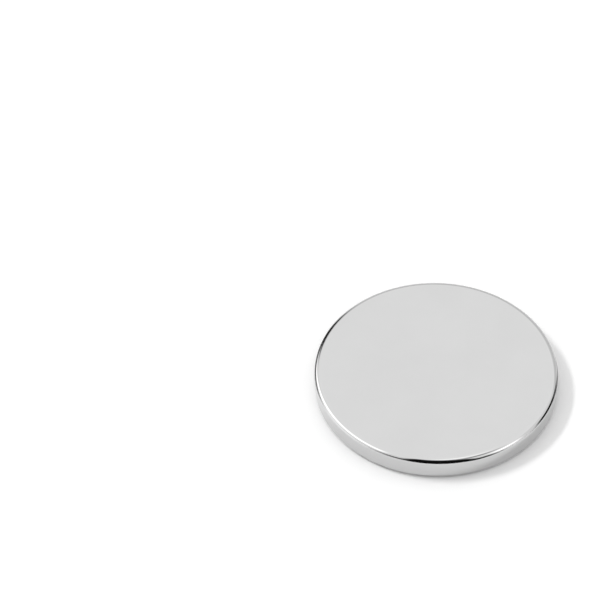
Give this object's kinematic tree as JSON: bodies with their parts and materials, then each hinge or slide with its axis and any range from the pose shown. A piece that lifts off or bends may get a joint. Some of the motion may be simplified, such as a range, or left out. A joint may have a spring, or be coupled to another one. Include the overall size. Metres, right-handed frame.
{
  "type": "disc magnet",
  "caption": "Flat round disc magnet, bright plated all over, with rounded upper and lower rims.",
  "frame": {"origin": "centre of the lower face, where the disc rests", "axes": "+Z along the disc's axis, from the lower face to the upper face; X and Y lie in the lower face"},
  "size_m": [0.02, 0.02, 0.0021],
  "materials": {
    "nickel_plating": "bright nickel plate, smooth and mirror-like"
  },
  "bodies": {
    "root": {"disc_magnet": "nickel_plating"}
  },
  "joints": []
}
